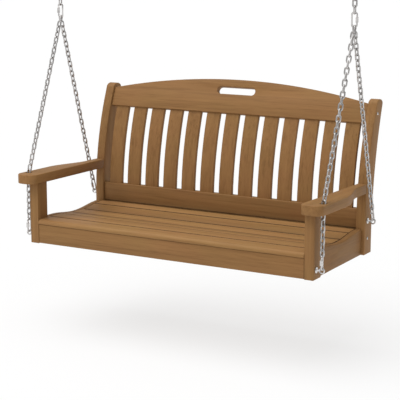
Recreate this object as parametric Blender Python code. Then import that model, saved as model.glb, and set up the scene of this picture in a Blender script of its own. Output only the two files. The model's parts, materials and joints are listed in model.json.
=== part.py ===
"""Porch swing: a slatted two-seat bench hung on link chain from two ceiling hangers.

Sizes are first worked out in bench coordinates: X across the seat (+X is the sitter's left),
Y from the front to the rear, and Z up from the foot of the front posts. The finished model
stands in the hanger frame, whose origin is on the ceiling midway between the two hangers.
"""
import math

import bmesh
import bpy
from mathutils import Vector

# ---- Driving dimensions, metres ----
GAP = 0.0003                 # clearance between faces that touch

INNER_WIDTH = 1.176          # between the inner faces of the posts
STOCK = 0.038                # thickness of the frame lumber
SIDE_RAIL_THICKNESS = 0.025
FRONT_POST_DEPTH = 0.065
FRONT_POST_BOTTOM = 0.0
SIDE_RAIL_BOTTOM = -0.003

APRON_FRONT = 0.002          # set back from the face of the front posts
APRON_BOTTOM = 0.002
APRON_TOP = 0.0795

SEAT_SLATS = 6
SEAT_SLAT_WIDTH = 0.0772
SEAT_SLAT_GAP = 0.004
SEAT_SLAT_THICKNESS = 0.019
SEAT_FRONT = -0.0015         # front edge of the first seat slat
SEAT_DIP = 0.0150            # depth of the seat's hollow
SEAT_DIP_START = 0.112       # where the hollow begins, from the front
SEAT_DIP_LENGTH = 0.345
NOSE_RADIUS = 0.012          # rounding of the front slat's leading edge
SUPPORT_WIDTH = 0.025
SUPPORT_BOTTOM = 0.012

BACK_POST_FRONT = 0.470      # front face of the rear posts at the foot
BACK_POST_DEPTH = 0.068
BACK_POST_BOTTOM = -0.004
BACK_POST_REACH = 0.0715     # from the crest's bottom up to where the rounded top begins
BACK_POST_CROWN = 0.019      # height of the rounded top
BACK_BEND_START = 0.118      # the front face is upright below this height
BACK_BEND_RADIUS = 1.170
REAR_BEND_START = 0.060
REAR_BEND_RADIUS = 1.596

BACK_SLATS = 13
BACK_SLAT_PITCH = 0.0889
BACK_SLAT_WIDTH = 0.0605
BACK_SLAT_THICKNESS = 0.0165
BACK_SLAT_RECESS = 0.0145    # behind the front face of the rear posts
TENON = 0.012                # how far each slat enters the rails

LOWER_RAIL_FRONT = 0.479
LOWER_RAIL_THICKNESS = 0.030
LOWER_RAIL_BOTTOM = 0.100
LOWER_RAIL_HEIGHT = 0.076
REAR_RAIL_SETBACK = 0.004    # behind the last slat's top edge, clear of its sloping end
REAR_RAIL_THICKNESS = 0.022
REAR_RAIL_BOTTOM = 0.020

CREST_RECESS = 0.008         # behind the front face of the rear posts
CREST_THICKNESS = 0.025
CREST_BOTTOM = 0.5035
CREST_LEAN = math.radians(21.5)
CREST_HEIGHT = 0.1435        # along the lean, at the middle
CREST_RISE = 0.0645          # rise of the arched top over its ends
HAND_SLOT_CENTRE = 0.0962    # along the lean from the bottom edge
HAND_SLOT_LENGTH = 0.175
HAND_SLOT_HEIGHT = 0.031

ARM_TOP = 0.2825
ARM_FALL = 0.0133            # drop per metre of depth, towards the back
ARM_THICKNESS = 0.038
ARM_NOSE = -0.038            # front end of the arm
ARM_INNER_REACH = 0.007      # over the inner face of the front post
ARM_OUTER_REACH = 0.043      # past the outer face of the front post
ARM_NOSE_RADIUS = 0.030
ARM_TAPER_START = 0.190
ARM_TAPER_END = 0.400
ARM_HOLE_RADIUS = 0.0136

CHAIN_OFFSET = 0.023         # from the outer face of the posts to the chain's plane
CHAIN_WIRE = 0.0045
CHAIN_LINK_WIDTH = 0.0155    # across the wire centres
FIRST_LINK_PLAY = 0.00045     # round a shared link's wire; its two links are narrow, to clear each other
CHAIN_FUSE = 0.0005          # overlap that joins neighbouring links into one solid
FRONT_LINKS = 38
REAR_LINKS = 34
UPPER_LINKS = 8
UPPER_PITCH = 0.0238

QUICK_WIRE = 0.0058
QUICK_LENGTH = 0.054         # between the wire centres of its two ends
QUICK_WIDTH = 0.020
QUICK_CORNER = 0.006         # radius of the wire's centre line round each corner
SLEEVE_LENGTH = 0.020
SLEEVE_RADIUS = 0.0058
JOINT_PLAY = 0.0005          # free play where two moving links hang on each other

EYE_WIRE = 0.006
EYE_RADIUS = 0.0095          # of the ring's wire centre
EYE_COLLAR_RADIUS = 0.0115
EYE_COLLAR_THICKNESS = 0.0025
EYE_SHANK_RADIUS = 0.0035
EYE_SHANK_LENGTH = 0.070
FRONT_EYE_HEIGHT = 0.0365
REAR_EYE_HEIGHT = 0.130
HANG_Y = 0.268               # depth at which the swing hangs
HANG_HEIGHT = 0.890          # of the meeting point of the front and rear chains
BEND_DROP = 0.008            # the front chain bends this far below the arm's top
CHAIN_SPREAD = 0.0030        # sideways shift of the two top links on the shared link

SCREW_HEAD_RADIUS = 0.006
SCREW_HEAD_HEIGHT = 0.0035
SCREW_SHANK_RADIUS = 0.003
SCREW_LENGTH = 0.060
CREST_SCREW_RISE = 0.0365    # above the crest's bottom edge

HANGER_WIRE = 0.008
HANGER_DROP = 0.035          # from the plate down to the bar's centre
HANGER_BAR = 0.026           # between the wire centres of the staple's legs
PLATE_LENGTH = 0.090
PLATE_WIDTH = 0.050
PLATE_THICKNESS = 0.006

# ---- Sizes that follow from the driving dimensions ----
INNER_X = INNER_WIDTH / 2
BACK_POST_SHOULDER = CREST_BOTTOM + BACK_POST_REACH
OUTER_X = INNER_X + STOCK
ARM_INNER_FRONT = INNER_X - ARM_INNER_REACH
ARM_OUTER = OUTER_X + ARM_OUTER_REACH
CHAIN_X = OUTER_X + CHAIN_OFFSET
SEAT_TOP = APRON_TOP + GAP + SEAT_SLAT_THICKNESS
LOWER_RAIL_TOP = LOWER_RAIL_BOTTOM + LOWER_RAIL_HEIGHT
SEAT_REAR = SEAT_FRONT + SEAT_SLATS * (SEAT_SLAT_WIDTH + SEAT_SLAT_GAP) - SEAT_SLAT_GAP
REAR_RAIL_FRONT = SEAT_REAR + REAR_RAIL_SETBACK
REAR_RAIL_TOP = LOWER_RAIL_BOTTOM - GAP
LOWER_RAIL_CENTRE = LOWER_RAIL_FRONT + LOWER_RAIL_THICKNESS / 2
APRON_CENTRE = APRON_FRONT + STOCK / 2
REAR_RAIL_CENTRE = REAR_RAIL_FRONT + REAR_RAIL_THICKNESS / 2
WIRE_FLAT = CHAIN_WIRE * math.sqrt(math.pi) / 4      # half side of the equal-area square wire
FIRST_LINK_WIDTH = QUICK_WIRE + 2 * WIRE_FLAT + FIRST_LINK_PLAY
HANG_STEP = (QUICK_WIRE + CHAIN_WIRE) / 2            # wire centre to wire centre, hanging
UPPER_CHAIN_BOTTOM = HANG_HEIGHT + QUICK_LENGTH - HANG_STEP - JOINT_PLAY
UPPER_CHAIN_TOP = UPPER_CHAIN_BOTTOM + UPPER_LINKS * UPPER_PITCH + 2 * WIRE_FLAT - CHAIN_FUSE
TOP_LINK_BOTTOM = UPPER_CHAIN_TOP - HANG_STEP - JOINT_PLAY
BAR_HEIGHT = TOP_LINK_BOTTOM + QUICK_LENGTH - (QUICK_WIRE + HANGER_WIRE) / 2 - JOINT_PLAY
CEILING = BAR_HEIGHT + HANGER_DROP + PLATE_THICKNESS

# Each body's joint axis passes through its pivot, given in bench coordinates.
PIVOTS = {
    "ceiling": Vector((0, HANG_Y, CEILING)),
    "bench": Vector((0, HANG_Y, HANG_HEIGHT)),
}
for side_name, side_sign in (("left", 1), ("right", -1)):
    for body, height in (("top_link", BAR_HEIGHT), ("upper_chain", TOP_LINK_BOTTOM),
                         ("junction_link", UPPER_CHAIN_BOTTOM)):
        PIVOTS[f"{side_name}_{body}"] = Vector((side_sign * CHAIN_X, HANG_Y, height))
SIDES = (("left", 1), ("right", -1))


# ---- Curves of the design ----
def post_front(z):
    """Depth of the rear posts' front face at a height."""
    rise = max(0.0, z - BACK_BEND_START)
    return BACK_POST_FRONT + BACK_BEND_RADIUS - math.sqrt(BACK_BEND_RADIUS ** 2 - rise ** 2)


def post_rear(z):
    """Depth of the rear posts' rear face at a height."""
    rise = max(0.0, z - REAR_BEND_START)
    bend = REAR_BEND_RADIUS - math.sqrt(REAR_BEND_RADIUS ** 2 - rise ** 2)
    return BACK_POST_FRONT + BACK_POST_DEPTH + bend


def seat_height(y):
    """Height of the seat's top surface at a depth: level, then a shallow hollow."""
    turn = min(max((y - SEAT_DIP_START) / SEAT_DIP_LENGTH, 0.0), 1.0) * 2 * math.pi
    return SEAT_TOP - SEAT_DIP * (1 - math.cos(turn)) / 2


def arm_top(y):
    return ARM_TOP - ARM_FALL * y


def arm_under(y):
    return arm_top(y) - ARM_THICKNESS


def crest_point(along, depth):
    """Depth and height of a point of the crest rail, from its bottom front edge."""
    base_y = post_front(CREST_BOTTOM) + CREST_RECESS
    return (base_y + along * math.sin(CREST_LEAN) + depth * math.cos(CREST_LEAN),
            CREST_BOTTOM + along * math.cos(CREST_LEAN) - depth * math.sin(CREST_LEAN))


def steps(low, high, count):
    """Evenly spaced values from low to high, both included."""
    return [low + (high - low) * i / (count - 1) for i in range(count)]


# ---- Mesh tools ----
def loft(rings, closed=False):
    """Skin equal rings of points; an open run of rings is capped at both ends."""
    bm = bmesh.new()
    loops = [[bm.verts.new(point) for point in ring] for ring in rings]
    pairs = list(zip(loops, loops[1:]))
    if closed:
        pairs.append((loops[-1], loops[0]))
    else:
        bm.faces.new(loops[0])
        bm.faces.new(loops[-1])
    for near, far in pairs:
        for i in range(len(near)):
            j = (i + 1) % len(near)
            bm.faces.new((near[i], near[j], far[j], far[i]))
    bmesh.ops.recalc_face_normals(bm, faces=bm.faces)
    return bm


def extrude_x(outline, x_low, x_high):
    """Prism along X from an outline of (y, z) points."""
    return loft([[Vector((x, y, z)) for y, z in outline] for x in (x_low, x_high)])


def box(x_range, y_range, z_range):
    (y0, y1), (z0, z1) = y_range, z_range
    return extrude_x([(y0, z0), (y1, z0), (y1, z1), (y0, z1)], *x_range)


def rod(start, end, radius, sides):
    """Straight round bar between two points."""
    axis = (end - start).normalized()
    across = axis.orthogonal().normalized()
    up = axis.cross(across)
    rings = []
    for centre in (start, end):
        rings.append([centre + radius * (math.cos(a) * across + math.sin(a) * up)
                      for a in steps(0, 2 * math.pi, sides + 1)[:-1]])
    return loft(rings)


def wire(path, normal, radius, sides, closed=True):
    """Wire of regular section along a flat path."""
    rings = []
    for i, point in enumerate(path):
        ahead = path[(i + 1) % len(path)] if closed or i + 1 < len(path) else point
        behind = path[i - 1] if closed or i > 0 else point
        tangent = (ahead - behind).normalized()
        across = tangent.cross(normal).normalized()
        rings.append([point + radius * (math.cos(a) * across + math.sin(a) * normal)
                      for a in steps(0, 2 * math.pi, sides + 1)[:-1]])
    return loft(rings, closed=closed)


def join(*parts):
    """Collect several meshes in one; they are freed."""
    whole = bmesh.new()
    for part in parts:
        mesh = bpy.data.meshes.new("temp")
        part.to_mesh(mesh)
        part.free()
        whole.from_mesh(mesh)
        bpy.data.meshes.remove(mesh)
    return whole


# ---- Scene tools ----
MATERIALS = {}
EMPTIES = {}


def clear_scene():
    for obj in list(bpy.data.objects):
        bpy.data.objects.remove(obj, do_unlink=True)


def make_material(name, colour, roughness, metallic=0.0):
    material = bpy.data.materials.new(name)
    material.use_nodes = True
    shader = material.node_tree.nodes["Principled BSDF"]
    shader.inputs["Base Color"].default_value = (*colour, 1.0)
    shader.inputs["Roughness"].default_value = roughness
    shader.inputs["Metallic"].default_value = metallic
    MATERIALS[name] = material


def make_empties():
    """One empty on each body's joint axis; the origin is on the ceiling, between the hangers."""
    for name, pivot in PIVOTS.items():
        empty = bpy.data.objects.new(f"{name}_axis", None)
        empty.location = pivot - PIVOTS["ceiling"]
        bpy.context.scene.collection.objects.link(empty)
        EMPTIES[name] = empty


def place(name, bm, body, material=None, smooth=False):
    """Turn a mesh in bench coordinates into an object on its body's empty."""
    mesh = bpy.data.meshes.new(name)
    bm.to_mesh(mesh)
    bm.free()
    for vertex in mesh.vertices:
        vertex.co -= PIVOTS[body]
    if smooth:
        mesh.shade_smooth()
        mesh.set_sharp_from_angle(angle=math.radians(50))
    obj = bpy.data.objects.new(name, mesh)
    bpy.context.scene.collection.objects.link(obj)
    obj.parent = EMPTIES[body]
    if material:
        mesh.materials.append(MATERIALS[material])
    else:
        obj.hide_render = True
        obj.display_type = "WIRE"
    return obj


def combine(target, tool, operation):
    """Boolean of two objects with the EXACT solver; the tool stays as a hidden guide."""
    modifier = target.modifiers.new(f"{operation.lower()}_{tool.name}", "BOOLEAN")
    modifier.operation = operation
    modifier.solver = "EXACT"
    modifier.object = tool


# ---- Seat ----
def slat_line(index):
    """Both ends, as (y, z), of a seat slat's flat top."""
    front = SEAT_FRONT + index * (SEAT_SLAT_WIDTH + SEAT_SLAT_GAP)
    rear = front + SEAT_SLAT_WIDTH
    return (front, seat_height(front)), (rear, seat_height(rear))


def below(point, other, distance):
    """The point moved square to the line between two (y, z) points, downwards."""
    direction = Vector(other) - Vector(point)
    direction.normalize()
    return point[0] + distance * direction.y, point[1] - distance * direction.x


def make_seat_slats():
    half = INNER_X - GAP
    for index in range(SEAT_SLATS):
        front, rear = slat_line(index)
        low_front = below(front, rear, SEAT_SLAT_THICKNESS)
        low_rear = (low_front[0] + rear[0] - front[0], low_front[1] + rear[1] - front[1])
        if index == 0:
            nose = [(front[0] + NOSE_RADIUS * (1 - math.cos(a)),
                     front[1] - NOSE_RADIUS * (1 - math.sin(a)))
                    for a in steps(0, math.pi / 2, 5)]
        else:
            nose = [front]
        outline = [low_front, *nose, rear, low_rear]
        place(f"seat_slat_{index + 1}", extrude_x(outline, -half, half), "bench", "seat_lumber")


def support_outline(y_front, y_rear):
    """Side view of a seat support, whose top follows the undersides of the slats."""
    top = []
    for index in range(SEAT_SLATS):
        front, rear = slat_line(index)
        low_front = below(front, rear, SEAT_SLAT_THICKNESS + GAP)
        slope = (rear[1] - front[1]) / (rear[0] - front[0])
        for y in (front[0], rear[0]):
            y = min(max(y, y_front), y_rear)
            top.append((y, low_front[1] + slope * (y - low_front[0])))
    return [(y_front, SUPPORT_BOTTOM), *top, (y_rear, SUPPORT_BOTTOM)]


def make_seat_supports():
    outline = support_outline(APRON_FRONT + STOCK + GAP, REAR_RAIL_FRONT - GAP)
    outer = INNER_X - GAP
    ranges = {"centre_seat_support": (-SUPPORT_WIDTH / 2, SUPPORT_WIDTH / 2)}
    for side, sign in SIDES:
        ranges[f"{side}_seat_cleat"] = (sign * (outer - SUPPORT_WIDTH), sign * outer)
    for name, (x_low, x_high) in ranges.items():
        place(name, extrude_x(outline, x_low, x_high), "bench", "frame_lumber")


def make_side_rails():
    front = FRONT_POST_DEPTH + GAP
    rear = BACK_POST_FRONT - GAP
    top = [(y, seat_height(y)) for y in steps(front, rear, 15)]
    outline = [(front, SIDE_RAIL_BOTTOM), *top, (rear, SIDE_RAIL_BOTTOM)]
    for side, sign in SIDES:
        ends = (sign * INNER_X, sign * (INNER_X + SIDE_RAIL_THICKNESS))
        place(f"{side}_side_rail", extrude_x(outline, *ends), "bench", "frame_lumber")


# ---- Cross rails ----
def make_cross_rails():
    rails = {}
    for name, front, thickness, bottom, top, material in (
            ("front_apron", APRON_FRONT, STOCK, APRON_BOTTOM, APRON_TOP, "seat_lumber"),
            ("rear_seat_rail", REAR_RAIL_FRONT, REAR_RAIL_THICKNESS, REAR_RAIL_BOTTOM,
             REAR_RAIL_TOP, "frame_lumber"),
            ("lower_back_rail", LOWER_RAIL_FRONT, LOWER_RAIL_THICKNESS, LOWER_RAIL_BOTTOM,
             LOWER_RAIL_TOP, "back_lumber")):
        board = box((GAP - INNER_X, INNER_X - GAP), (front, front + thickness), (bottom, top))
        rails[name] = place(name, board, "bench", material)
    for name, bore, y, z, size in (
            ("front_apron", "front_eye_bores", APRON_CENTRE, FRONT_EYE_HEIGHT, eye_bore()),
            ("lower_back_rail", "rear_eye_bores", LOWER_RAIL_CENTRE, REAR_EYE_HEIGHT, eye_bore()),
            ("rear_seat_rail", "seat_screw_bores", REAR_RAIL_CENTRE, seat_screw_height(),
             screw_bore())):
        combine(rails[name], make_bores(bore, y, z, size), "DIFFERENCE")
    return rails["lower_back_rail"]


def eye_bore():
    return EYE_SHANK_RADIUS, EYE_SHANK_LENGTH


def screw_bore():
    return SCREW_SHANK_RADIUS, SCREW_LENGTH


def seat_screw_height():
    return (REAR_RAIL_BOTTOM + REAR_RAIL_TOP) / 2


def make_bores(name, y, z, size):
    """Guide with one blind bore at each side, run in from the outer faces of the posts."""
    radius, length = size
    bores = []
    for _, sign in SIDES:
        start = Vector((sign * (OUTER_X - length - GAP), y, z))
        end = Vector((sign * (OUTER_X + STOCK), y, z))
        bores.append(rod(start, end, (radius + GAP) / math.cos(math.pi / 8), 8))
    return place(name, join(*bores), "bench")


# ---- Back ----
def back_arc(offset, angle):
    """Point, as (y, z), of a curve parallel to the rear posts' front face."""
    radius = BACK_BEND_RADIUS - offset
    return (BACK_POST_FRONT + BACK_BEND_RADIUS - radius * math.cos(angle),
            BACK_BEND_START + radius * math.sin(angle))


def back_slat(centre, clearance=0.0):
    """One bent back slat, or the mortise shape round it when a clearance is given."""
    front = BACK_SLAT_RECESS - clearance
    rear = BACK_SLAT_RECESS + BACK_SLAT_THICKNESS + clearance
    middle_radius = BACK_BEND_RADIUS - BACK_SLAT_RECESS - BACK_SLAT_THICKNESS / 2
    low = LOWER_RAIL_TOP - TENON - clearance - BACK_BEND_START
    high = CREST_BOTTOM + TENON * math.cos(CREST_LEAN) + clearance - BACK_BEND_START
    angles = steps(math.asin(low / middle_radius), math.asin(high / middle_radius), 9)
    outline = [back_arc(front, a) for a in angles]
    outline += [back_arc(rear, a) for a in reversed(angles)]
    half = BACK_SLAT_WIDTH / 2 + clearance
    return extrude_x(outline, centre - half, centre + half)


def slat_centres():
    return [(i - (BACK_SLATS - 1) / 2) * BACK_SLAT_PITCH for i in range(BACK_SLATS)]


def make_back_slats():
    for index, centre in enumerate(slat_centres()):
        place(f"back_slat_{index + 1:02d}", back_slat(centre), "bench", "back_lumber")
    mortises = join(*[back_slat(centre, GAP) for centre in slat_centres()])
    return place("slat_mortises", mortises, "bench")


def make_crest_rail():
    """Arched board, leaning back, with a hand slot near the top."""
    half = INNER_X - GAP
    drop = CREST_RISE
    radius = (half ** 2 + drop ** 2) / (2 * drop)
    sweep = math.asin(half / radius)
    outline = [(radius * math.sin(a), CREST_HEIGHT - radius * (1 - math.cos(a)))
               for a in steps(sweep, -sweep, 25)]
    outline += [(-half, 0.0), (half, 0.0)]
    crest = place("crest_rail", leaning_board(outline, 0.0, CREST_THICKNESS), "bench", "back_lumber")
    end = HAND_SLOT_HEIGHT / 2
    reach = HAND_SLOT_LENGTH / 2 - end
    slot = [(reach + end * math.cos(a), HAND_SLOT_CENTRE + end * math.sin(a))
            for a in steps(-math.pi / 2, math.pi / 2, 7)]
    slot += [(-x, 2 * HAND_SLOT_CENTRE - along) for x, along in slot]
    guide = place("hand_slot", leaning_board(slot, -CREST_THICKNESS, 2 * CREST_THICKNESS), "bench")
    combine(crest, guide, "DIFFERENCE")
    y, z = crest_screw_place()
    combine(crest, make_bores("crest_screw_bores", y, z, screw_bore()), "DIFFERENCE")
    return crest


def leaning_board(outline, depth_low, depth_high):
    """Board in the crest's leaning plane from an outline of (x, along) points."""
    rings = []
    for depth in (depth_low, depth_high):
        rings.append([Vector((x, *crest_point(along, depth))) for x, along in outline])
    return loft(rings)


def crest_screw_place():
    """Depth and height of the crest's screw, in the middle of its thickness."""
    middle = CREST_THICKNESS / 2
    rise = CREST_SCREW_RISE + middle * math.sin(CREST_LEAN)
    return crest_point(rise / math.cos(CREST_LEAN), middle)


# ---- Posts ----
def make_rear_posts():
    heights = steps(BACK_BEND_START, BACK_POST_SHOULDER, 12)
    outline = [(BACK_POST_FRONT, BACK_POST_BOTTOM)]
    outline += [(post_front(z), z) for z in heights]
    low_y, high_y = post_front(BACK_POST_SHOULDER), post_rear(BACK_POST_SHOULDER)
    middle, half = (low_y + high_y) / 2, (high_y - low_y) / 2
    outline += [(middle - half * math.cos(a), BACK_POST_SHOULDER + BACK_POST_CROWN * math.sin(a))
                for a in steps(0, math.pi, 9)[1:-1]]
    outline += [(post_rear(z), z) for z in steps(BACK_POST_SHOULDER, REAR_BEND_START, 13)]
    outline += [(post_rear(REAR_BEND_START), BACK_POST_BOTTOM)]
    crest_y, crest_z = crest_screw_place()
    for side, sign in SIDES:
        post = place(f"{side}_rear_post", extrude_x(outline, sign * INNER_X, sign * OUTER_X),
                     "bench", "frame_lumber")
        for name, y, z, size in (("eye", LOWER_RAIL_CENTRE, REAR_EYE_HEIGHT, eye_bore()),
                                 ("crest_screw", crest_y, crest_z, screw_bore()),
                                 ("seat_screw", REAR_RAIL_CENTRE, seat_screw_height(), screw_bore())):
            guide = make_bores(f"{side}_rear_post_{name}_bore", y, z, size)
            combine(post, guide, "DIFFERENCE")


def make_front_posts():
    outline = [(0.0, FRONT_POST_BOTTOM), (FRONT_POST_DEPTH, FRONT_POST_BOTTOM),
               (FRONT_POST_DEPTH, arm_under(FRONT_POST_DEPTH) - GAP), (0.0, arm_under(0.0) - GAP)]
    for side, sign in SIDES:
        post = place(f"{side}_front_post", extrude_x(outline, sign * INNER_X, sign * OUTER_X),
                     "bench", "frame_lumber")
        combine(post, make_bores(f"{side}_front_post_bore", APRON_CENTRE, FRONT_EYE_HEIGHT,
                                 eye_bore()), "DIFFERENCE")


# ---- Arms ----
def arm_outline(sign):
    """Top view of an arm, as (x, y), from the inner rear corner round the nose."""
    r = ARM_NOSE_RADIUS
    nose_inner = [(ARM_INNER_FRONT + r * (1 - math.cos(a)), ARM_NOSE + r * (1 - math.sin(a)))
                  for a in steps(0, math.pi / 2, 6)]
    nose_outer = [(ARM_OUTER - r * (1 - math.sin(a)), ARM_NOSE + r * (1 - math.cos(a)))
                  for a in steps(0, math.pi / 2, 6)]
    taper = []
    for t in steps(0.0, 1.0, 11):
        blend = (1 - math.cos(math.pi * t)) / 2
        taper.append((ARM_OUTER + (OUTER_X - ARM_OUTER) * blend,
                      ARM_TAPER_START + (ARM_TAPER_END - ARM_TAPER_START) * t))
    outline = [(INNER_X, None), *nose_inner, *nose_outer, *taper, (OUTER_X, None)]
    return [(sign * x, y) for x, y in outline]


def make_arms():
    for side, sign in SIDES:
        rings = []
        for height in (arm_under, arm_top):
            rear_y = post_front(height(BACK_POST_FRONT)) - GAP
            ring = []
            for x, y in arm_outline(sign):
                y = rear_y if y is None else y
                ring.append(Vector((x, y, height(y))))
            rings.append(ring)
        arm = place(f"{side}_arm", loft(rings), "bench", "frame_lumber")
        centre = Vector((sign * CHAIN_X, front_bend_y() + 0.0015, 0))
        low, high = centre.copy(), centre.copy()
        low.z, high.z = arm_under(0) - ARM_THICKNESS, arm_top(0) + ARM_THICKNESS
        hole = place(f"{side}_chain_hole", rod(low, high, ARM_HOLE_RADIUS, 16), "bench")
        combine(arm, hole, "DIFFERENCE")


# ---- Chains and links ----
def link_path(centre, along, across, length, width, corner):
    """Centre line of a quick link: a rectangle with round corners."""
    reach, spread = length / 2 - corner, width / 2 - corner
    points = []
    for end, side, turn in ((1, 1, 0), (1, -1, 1), (-1, -1, 2), (-1, 1, 3)):
        for a in steps(turn * math.pi / 2, (turn + 1) * math.pi / 2, 3):
            points.append(centre + (end * reach + corner * math.sin(a)) * along
                          + (side * spread + corner * math.cos(a)) * across)
    return points


def square_link(centre, along, across, length, width):
    """One chain link as a mitred frame of square wire; length and width are to wire centres."""
    normal = along.cross(across)
    rings = []
    for end, side in ((1, 1), (1, -1), (-1, -1), (-1, 1)):
        ring = []
        for out, lift in ((1, 1), (-1, 1), (-1, -1), (1, -1)):
            reach = end * (length / 2 + out * WIRE_FLAT)
            spread = side * (width / 2 + out * WIRE_FLAT)
            ring.append(centre + reach * along + spread * across + lift * WIRE_FLAT * normal)
        rings.append(ring)
    return loft(rings, closed=True)


def chain_meshes(points, first_width, first_shift):
    """Odd and even links along a run of joints, as two sets that cross each other."""
    sets = ([], [])
    x_axis = Vector((1, 0, 0))
    for index, (start, end) in enumerate(zip(points, points[1:])):
        length = (start - end).length + 2 * WIRE_FLAT - CHAIN_FUSE
        along = (start - end).normalized()
        across = along.cross(x_axis) if index % 2 == 0 else x_axis
        centre, width = (start + end) / 2, CHAIN_LINK_WIDTH
        if index == 0:
            centre, width = centre + first_shift, first_width
        sets[index % 2].append(square_link(centre, along, across, length, width))
    return join(*sets[0]), join(*sets[1])


def make_chain(name, body, points, first_width=CHAIN_LINK_WIDTH, first_shift=Vector((0, 0, 0))):
    """A run of fused links as one solid."""
    odd, even = chain_meshes(points, first_width, first_shift)
    chain = place(name, odd, body, "chain_zinc")
    combine(chain, place(f"{name}_even_links", even, body), "UNION")


def run_points(corners, start, end, count):
    """Evenly spaced joints along a polyline, between two distances from its start."""
    lengths = [(b - a).length for a, b in zip(corners, corners[1:])]
    points = []
    for distance in steps(start, end, count + 1):
        for a, b, length in zip(corners, corners[1:], lengths):
            if distance <= length or b is corners[-1]:
                points.append(a + (b - a) * (distance / length))
                break
            distance -= length
    return points


def front_bend_y():
    return APRON_CENTRE + 0.003


def joint_ends(total_before, total_after):
    """Move wire-centre ends in to where neighbouring links would meet."""
    slack = WIRE_FLAT - CHAIN_FUSE / 2
    return total_before + slack, total_after - slack


def make_hanging_chains():
    """Front and rear chains of both sides, from the shared link down to the tops of the eyes."""
    for side, sign in SIDES:
        x = sign * CHAIN_X
        top = Vector((x, HANG_Y, HANG_HEIGHT))
        bend = Vector((x, front_bend_y(), arm_top(0) - BEND_DROP))
        eye_top = Vector((x, APRON_CENTRE, FRONT_EYE_HEIGHT + EYE_RADIUS))
        make_leg(f"{side}_front", [top, bend, eye_top], FRONT_LINKS, Vector((CHAIN_SPREAD, 0, 0)))
        eye_top = Vector((x, LOWER_RAIL_CENTRE, REAR_EYE_HEIGHT + EYE_RADIUS))
        make_leg(f"{side}_rear", [top, eye_top], REAR_LINKS, Vector((-CHAIN_SPREAD, 0, 0)))


def make_leg(name, corners, count, first_shift):
    """One chain of the bench and the quick link that joins it to its eye bolt."""
    down = (corners[-1] - corners[-2]).normalized()
    quick_bottom = corners[-1] + down * ((EYE_WIRE + QUICK_WIRE) / 2 + GAP)
    quick_centre = quick_bottom - down * QUICK_LENGTH / 2
    chain_end = quick_bottom - down * (QUICK_LENGTH - HANG_STEP - GAP)
    lead = (corners[1] - corners[0]).normalized() * (HANG_STEP + JOINT_PLAY)
    path = [corners[0] - lead, *corners[1:-1], chain_end]
    total = sum((b - a).length for a, b in zip(path, path[1:]))
    points = run_points(path, *joint_ends(0.0, total), count)
    make_chain(f"{name}_chain", "bench", points, FIRST_LINK_WIDTH, first_shift)
    make_quick_link(f"{name}_quick_link", "bench", quick_centre, -down,
                    down.cross(Vector((1, 0, 0))), 1)


def make_quick_link(name, body, centre, along, across, sleeve_side):
    """Threaded connecting link with its hexagonal sleeve."""
    normal = along.cross(across)
    path = link_path(centre, along, across, QUICK_LENGTH, QUICK_WIDTH, QUICK_CORNER)
    link = place(name, wire(path, normal, QUICK_WIRE / 2, 6), body, "fitting_steel", smooth=True)
    middle = centre + across * QUICK_WIDTH / 2 * sleeve_side
    sleeve = rod(middle - along * SLEEVE_LENGTH / 2, middle + along * SLEEVE_LENGTH / 2,
                 SLEEVE_RADIUS, 6)
    combine(link, place(f"{name}_sleeve", sleeve, body), "UNION")


def make_eye_bolts():
    for side, sign in SIDES:
        for end, y, z in (("front", APRON_CENTRE, FRONT_EYE_HEIGHT),
                          ("rear", LOWER_RAIL_CENTRE, REAR_EYE_HEIGHT)):
            ring = [Vector((sign * (CHAIN_X + EYE_RADIUS * math.cos(a)), y, z + EYE_RADIUS * math.sin(a)))
                    for a in steps(0, 2 * math.pi, 17)[:-1]]
            bolt = place(f"{side}_{end}_eye_bolt", wire(ring, Vector((0, 1, 0)), EYE_WIRE / 2, 6),
                         "bench", "fitting_steel", smooth=True)
            shank = rod(Vector((sign * (OUTER_X - EYE_SHANK_LENGTH), y, z)),
                        Vector((sign * (CHAIN_X - EYE_RADIUS + EYE_WIRE / 4), y, z)),
                        EYE_SHANK_RADIUS, 8)
            collar = rod(Vector((sign * (OUTER_X + GAP), y, z)),
                         Vector((sign * (OUTER_X + GAP + EYE_COLLAR_THICKNESS), y, z)),
                         EYE_COLLAR_RADIUS, 16)
            for label, part in (("shank", shank), ("collar", collar)):
                combine(bolt, place(f"{side}_{end}_eye_{label}", part, "bench"), "UNION")


def make_post_screws():
    """Round-headed screws that hold the crest rail and the rear seat rail."""
    crest_y, crest_z = crest_screw_place()
    for side, sign in SIDES:
        for label, y, z in (("crest", crest_y, crest_z),
                            ("seat", REAR_RAIL_CENTRE, seat_screw_height())):
            face = OUTER_X + GAP
            head = loft([[Vector((sign * (face + x), y + r * math.cos(a), z + r * math.sin(a)))
                          for a in steps(0, 2 * math.pi, 13)[:-1]]
                         for x, r in ((0, SCREW_HEAD_RADIUS), (SCREW_HEAD_HEIGHT / 2, SCREW_HEAD_RADIUS),
                                      (SCREW_HEAD_HEIGHT, SCREW_HEAD_RADIUS * 0.6))])
            screw = place(f"{side}_{label}_screw", head, "bench", "fitting_steel", smooth=True)
            shank = rod(Vector((sign * (OUTER_X - SCREW_LENGTH), y, z)),
                        Vector((sign * (face + SCREW_HEAD_HEIGHT / 4), y, z)), SCREW_SHANK_RADIUS, 8)
            combine(screw, place(f"{side}_{label}_screw_shank", shank, "bench"), "UNION")


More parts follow.
